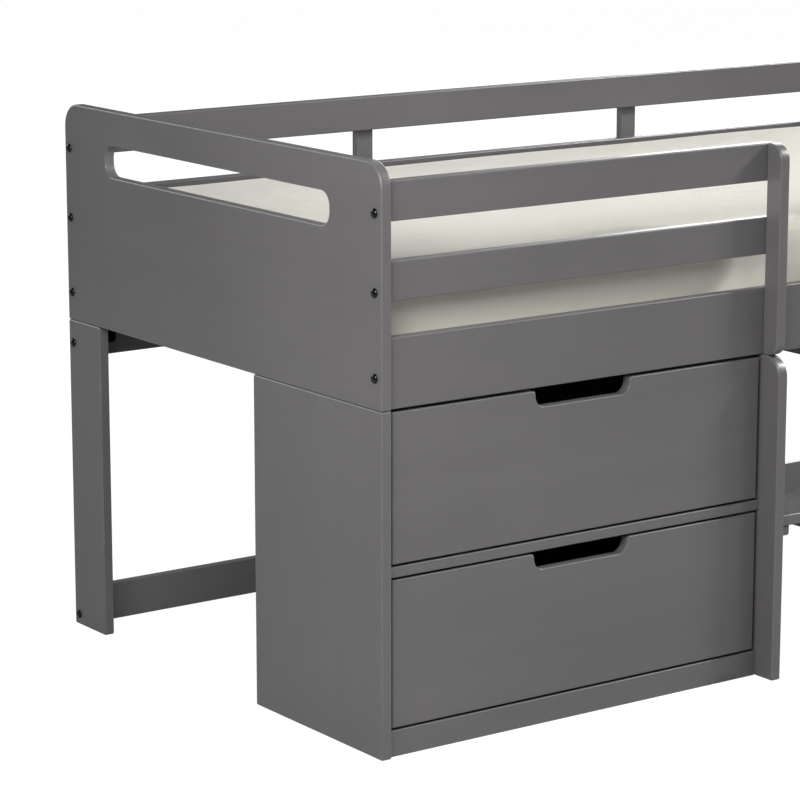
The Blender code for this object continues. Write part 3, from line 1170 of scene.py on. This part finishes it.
# ---------------------------------------------------------------- ladder
@dataclass
class Ladder:
    """The ladder's right stile, its tread and the cleats that carry it."""

    cleat_corner: Corner = Corner(0.006, at_top=False, segments=5)
    cleat_ease: float = 0.002
    body: str = BED

    def build(self) -> None:
        """Make the stile, the tread and the cleats."""
        make_stile("ladder_right_stile", self.body)
        straight_board("ladder_tread", Lacquer(Axis.LENGTH), self.body)
        for node in ("tread_cleat_left", "tread_cleat_right"):
            cleat = board_at(node, self.cleat_corner).ease(self.cleat_ease)
            cleat.stand_for(node, Lacquer(Axis.DEPTH), self.body)


# ---------------------------------------------------------------- desk
TYRE = WheelPlastic("wheel_rubber", (0.012, 0.012, 0.012), (0.045, 0.044, 0.042), 0.62)
HUB = WheelPlastic("wheel_hub", (0.16, 0.16, 0.165), (0.22, 0.22, 0.22), 0.42)


@dataclass
class Desk:
    """The rolling desk: a top, two side frames, two rails, four axles and four wheels."""

    top_corner: float = 0.030
    top_ease: float = 0.004
    leg_width: float = 0.045
    rail_height: float = 0.060
    low_rail: Span = (0.135, 0.185)
    inner_corner: float = 0.015
    board: float = 0.020
    wheel_facets: int = 48
    tyre_inset: float = 0.001
    tyre_shoulder: float = 0.003
    hub_radius: float = 0.0125
    hub_gap: float = 0.0002
    hub_inset: float = 0.0012
    hub_dish: float = 0.0035
    rim_walls: Span = (0.002, 0.003)
    boss_inset: float = 0.0005
    boss_walls: Span = (0.0015, 0.002)
    axle_radius: float = 0.004
    axle_play: float = 0.0006
    axle_root: float = 0.0009
    axle_tip: float = 0.0010
    head_radius: float = 0.008
    head_height: float = 0.0028
    body: str = "desk"

    def build(self) -> None:
        """Make the desk and its wheels."""
        top = Form.block(*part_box("desk_top"))
        top.round_edges(Axis.HEIGHT, self.top_corner)
        top.ease(self.top_ease).stand_for("desk_top", Lacquer(Axis.LENGTH), self.body)
        for node in ("desk_front_rail", "desk_rear_rail"):
            straight_board(node, Lacquer(Axis.LENGTH), self.body)
        for side in Side:
            self.side_frame(side)
            for end in End:
                self.wheel(end, side)

    def side_frame(self, side: Side) -> None:
        """Make one side frame, open above and below its low rail.

        Args:
            side: The desk's left or right side.
        """
        node = f"desk_{side.value}_frame"
        low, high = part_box(node)
        if side is Side.LEFT:
            high.x = low.x + self.board
        else:
            low.x = high.x - self.board
        front, rear = low.y + self.leg_width, high.y - self.leg_width
        under, over = self.low_rail
        window = Form.opening(Axis.LENGTH, Vector((low.x, front, over)),
                              Vector((high.x, rear, high.z - self.rail_height)),
                              self.inner_corner, segments=8)
        arch = Form.opening(Axis.LENGTH, Vector((low.x, front, low.z - PROUD)),
                            Vector((high.x, rear, under)), self.inner_corner,
                            lambda point: point.z > under - NEAR, 8)
        frame_board = Form.block(low, high).cut(window, arch).ease()
        frame_board.stand_for(node, Lacquer(Axis.HEIGHT), self.body)

    def wheel(self, end: End, side: Side) -> None:
        """Make one wheel, its hub and the axle that it turns on.

        Args:
            end: The wheel's end of the side frame.
            side: The desk's left or right side.
        """
        corner = f"{end.value}_{side.value}"
        node = f"desk_wheel_{corner}"
        low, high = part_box(node)
        middle = (low + high) / 2
        half = (high.x - low.x) / 2
        tyre = self.wheel_part(self.tyre_profile(half, (high.z - low.z) / 2), middle)
        tyre.piece(f"tyre_{corner}", TYRE, node, [node])
        hub = self.wheel_part(self.hub_profile(half), middle)
        hub.piece(f"hub_{corner}", HUB, node)
        self.axle(f"axle_{corner}", side, middle, half)

    def wheel_part(self, half: Profile, middle: Vector) -> Form:
        """Turn one ring of a wheel from half its profile, at the wheel's middle."""
        return Form.turned(both_ends(half), True, self.wheel_facets).moved(middle)

    def tyre_profile(self, half: float, radius: float) -> Profile:
        """Half the tyre's profile, with a rounded shoulder.

        Args:
            half: Half the wheel's width.
            radius: The wheel's radius.

        Returns:
            Its (along, out) points.
        """
        round_off = self.tyre_shoulder
        turns = [QUARTER * step / 5 for step in range(6)]
        shoulder = [(half - round_off + round_off * math.cos(turn),
                     radius - round_off + round_off * math.sin(turn)) for turn in turns]
        return [(half - self.tyre_inset, self.hub_radius), *shoulder]

    def hub_profile(self, half: float) -> Profile:
        """Half the hub's profile: a boss round the axle, a dish and a rim.

        Args:
            half: Half the wheel's width.

        Returns:
            Its (along, out) points.
        """
        bore = self.axle_radius + self.axle_play
        rim = self.hub_radius - self.hub_gap
        boss, dish, face = (half - inset for inset in
                            (self.boss_inset, self.hub_dish, self.hub_inset))
        thin_boss, thick_boss = (bore + wall for wall in self.boss_walls)
        thin_rim, thick_rim = (rim - wall for wall in self.rim_walls)
        return [(boss, bore), (boss, thin_boss), (dish, thick_boss), (dish, thick_rim),
                (face, thin_rim), (face, rim)]

    def axle(self, name: str, side: Side, middle: Vector, half: float) -> None:
        """Make the axle from the desk's leg through one wheel.

        Args:
            name: The axle's name.
            side: The desk's left or right side.
            middle: The wheel's middle.
            half: Half the wheel's width.
        """
        root, tip = -half - self.axle_root, half + self.axle_tip
        head = domed_end(tip, self.head_height, self.head_radius, 6)
        profile = [(root, 0.0), (root, self.axle_radius), (tip, self.axle_radius), *head]
        form = Form.turned(profile, closed=False)
        if side is Side.RIGHT:
            form.moved(Vector(), Matrix.Rotation(math.pi, 4, "Z"))
        form.moved(middle).piece(name, BlackSteel(), self.body)


# ---------------------------------------------------------------- bolts
@dataclass
class Bolts:
    """Black button-head bolts through the end panels, the legs and the balusters."""

    head_radius: float = 0.0082
    head_height: float = 0.0050
    head_rim: float = 0.0006
    socket_radius: float = 0.0024
    socket_depth: float = 0.0022
    lift: float = 0.00005
    front_edge: float = 0.019
    rear_edge: float = 0.0155
    panel_heights: tuple[float, ...] = (0.632, 0.770, 0.897)
    leg_heights: tuple[float, ...] = (0.0205, 0.5375)
    body: str = BED

    def head(self) -> Form:
        """A domed bolt head with a hexagon socket, facing +X.

        Returns:
            The head.
        """
        dome = domed_end(self.head_rim, self.head_height - self.head_rim,
                         self.head_radius, 7)
        socket = Form.hexagon(self.socket_radius, self.head_height - self.socket_depth,
                              self.head_height + PROUD)
        foot = [(0.0, 0.0), (0.0, self.head_radius)]
        return Form.turned([*foot, *dome], closed=False).cut(socket)

    def fasten(self, name: str, place: Vector, facing: Axis, sign: float) -> None:
        """Put one bolt head on a face.

        Args:
            name: The bolt's name.
            place: The point on the face.
            facing: The direction that the face looks along.
            sign: 1 if it looks towards the positive side, or -1.
        """
        outward = facing.vector * sign
        turn = Axis.LENGTH.vector.rotation_difference(outward).to_matrix().to_4x4()
        form = self.head().moved(place + outward * self.lift, turn)
        form.piece(name, BlackSteel(), self.body)

    def build(self) -> None:
        """Make every bolt."""
        for side in Side:
            self.fasten_end(side)
        for side in Side:
            low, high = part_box(f"rear_baluster_{side.value}")
            for rail in ("rear_bed_rail", "rear_guard_rail_lower", "rear_guard_rail_upper"):
                foot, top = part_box(rail)
                place = Vector(((low.x + high.x) / 2, high.y, (foot.z + top.z) / 2))
                self.fasten(f"screw_{side.value}_{rail}", place, Axis.DEPTH, 1.0)

    def fasten_end(self, side: Side) -> None:
        """Put the bolts on the end panel and the rear leg of one side.

        Args:
            side: The bed's side.
        """
        low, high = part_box(f"{side.value}_end_panel")
        face = side.face(low, high)
        front, rear = low.y + self.front_edge, high.y - self.rear_edge
        rows = (("front", front, self.panel_heights), ("rear", rear, self.panel_heights),
                ("leg", rear, self.leg_heights))
        for row, y, heights in rows:
            for index, z in enumerate(heights):
                self.fasten(f"bolt_{side.value}_{row}_{index + 1}",
                            Vector((face, y, z)), Axis.LENGTH, side.outward)


# ---------------------------------------------------------------- studio
LIT_FLOOR = FloorFinish("studio_floor", (0.53,) * 3, (0.57,) * 3, 0.5, 0.0)
SHOWN_FLOOR = FloorFinish("studio_floor_sheet", (0.11,) * 3, (0.13,) * 3, 0.0, 0.975)


def stand(item: bpy.types.Object, place: Place, aim: Vector) -> None:
    """Put a lamp or the camera into the scene.

    Args:
        item: The lamp or the camera.
        place: Where it stands.
        aim: The direction that it faces.
    """
    bpy.context.scene.collection.objects.link(item)
    item.location = place
    item.rotation_mode = "QUATERNION"
    item.rotation_quaternion = aim.to_track_quat("-Z", "Y")


@dataclass(frozen=True)
class SoftLight:
    """A soft rectangular light that faces the bed."""

    name: str
    place: Place
    width: float
    height: float
    power: float

    def hang(self, target: Vector) -> None:
        """Hang the light.

        Args:
            target: The point that it faces.
        """
        data = bpy.data.lights.new(self.name, "AREA")
        data.shape = "RECTANGLE"
        data.size = self.width
        data.size_y = self.height
        data.energy = self.power
        lamp = bpy.data.objects.new(self.name, data)
        stand(lamp, self.place, target - Vector(self.place))
        lamp.visible_camera = False


@dataclass
class Studio:
    """A pale floor, soft lights and the camera."""

    floor_size: float = 120.0
    floor_drop: float = 0.0004
    sheet_drop: float = 0.0002
    camera_place: Place = (-3.78819, -4.46777, 1.64098)
    camera_yaw: float = 35.4435
    camera_pitch: float = 12.0662
    camera_lens: float = 141.37
    sensor: float = 36.0
    sky_light: float = 0.12
    target: Place = (-0.3, -0.1, 0.6)
    lights: tuple[SoftLight, ...] = (
        SoftLight("key", (3.08, -1.79, 3.05), 0.9, 0.9, 180.0),
        SoftLight("left_fill", (-2.5, -1.2, 1.6), 1.0, 1.0, 35.0),
        SoftLight("high_left_fill", (-1.9, -1.9, 2.0), 1.0, 1.0, 30.0),
        SoftLight("front_fill", (0.5, -5.0, 2.0), 2.0, 2.0, 12.0),
        SoftLight("overhead", (-0.8, 1.8, 3.6), 1.5, 1.5, 6.0),
        SoftLight("rear_left_fill", (-2.5, 3.5, 2.0), 2.0, 2.0, 40.0),
        SoftLight("rear_right_fill", (4.0, 2.6, 3.4), 2.0, 2.0, 42.0),
        SoftLight("gleam", (6.89, 6.22, 3.9), 3.0, 4.5, 240.0),
    )

    def build(self) -> None:
        """Make the floor, the lights, the sky and the camera."""
        lit = self.floor(LIT_FLOOR, self.floor_drop)
        lit.visible_camera = False
        shown = self.floor(SHOWN_FLOOR, self.sheet_drop)
        for ray in ("diffuse", "glossy", "transmission", "volume_scatter", "shadow"):
            setattr(shown, f"visible_{ray}", False)
        for light in self.lights:
            light.hang(Vector(self.target))
        self.backdrop()
        self.camera()

    def floor(self, finish: FloorFinish, drop: float) -> bpy.types.Object:
        """Lay one layer of the floor.

        Args:
            finish: What it is made of.
            drop: How far it lies under the bed's feet.

        Returns:
            The layer.
        """
        form = Form()
        bmesh.ops.create_grid(form.shape, x_segments=4, y_segments=4,
                              size=self.floor_size / 2)
        layer = form.loose(finish.name)
        layer.data.materials.append(finish.material())
        layer.location.z = -drop
        return layer

    def backdrop(self) -> None:
        """Fill the sky with even pale light, which the camera sees as white."""
        world = bpy.data.worlds.new("studio_sky")
        world.use_nodes = True
        nodes, links = world.node_tree.nodes, world.node_tree.links
        lighting = nodes["Background"]
        seen = nodes.new("ShaderNodeBackground")
        for sky, strength in ((lighting, self.sky_light), (seen, 1.0)):
            sky.inputs["Color"].default_value = WHITE
            sky.inputs["Strength"].default_value = strength
        rays, choice = nodes.new("ShaderNodeLightPath"), nodes.new("ShaderNodeMixShader")
        links.new(rays.outputs["Is Camera Ray"], choice.inputs["Fac"])
        links.new(lighting.outputs["Background"], choice.inputs[1])
        links.new(seen.outputs["Background"], choice.inputs[2])
        links.new(choice.outputs["Shader"], nodes["World Output"].inputs["Surface"])
        bpy.context.scene.world = world
        bpy.context.scene.view_settings.view_transform = "Standard"

    def camera(self) -> None:
        """Stand the camera to the bed's left front, looking slightly down."""
        data = bpy.data.cameras.new("camera")
        data.lens = self.camera_lens
        data.sensor_width = self.sensor
        eye = bpy.data.objects.new("camera", data)
        yaw, pitch = math.radians(self.camera_yaw), math.radians(self.camera_pitch)
        aim = Vector((math.sin(yaw) * math.cos(pitch), math.cos(yaw) * math.cos(pitch),
                      -math.sin(pitch)))
        stand(eye, self.camera_place, aim)
        bpy.context.scene.camera = eye


def main() -> None:
    """Build the studio and every sub-assembly of the bed."""
    logging.basicConfig(level=logging.INFO, format="%(name)s %(message)s")
    assemblies = [Studio(), EndPanels(), Underframe(), Rails(), SlatBase(), Mattress(),
                  Cabinet(), Drawer(Level.UPPER), Drawer(Level.LOWER), Ladder(), Desk(),
                  Bolts()]
    for assembly in assemblies:
        LOG.info("building %s", type(assembly).__name__)
        assembly.build()


if __name__ == "__main__":
    main()
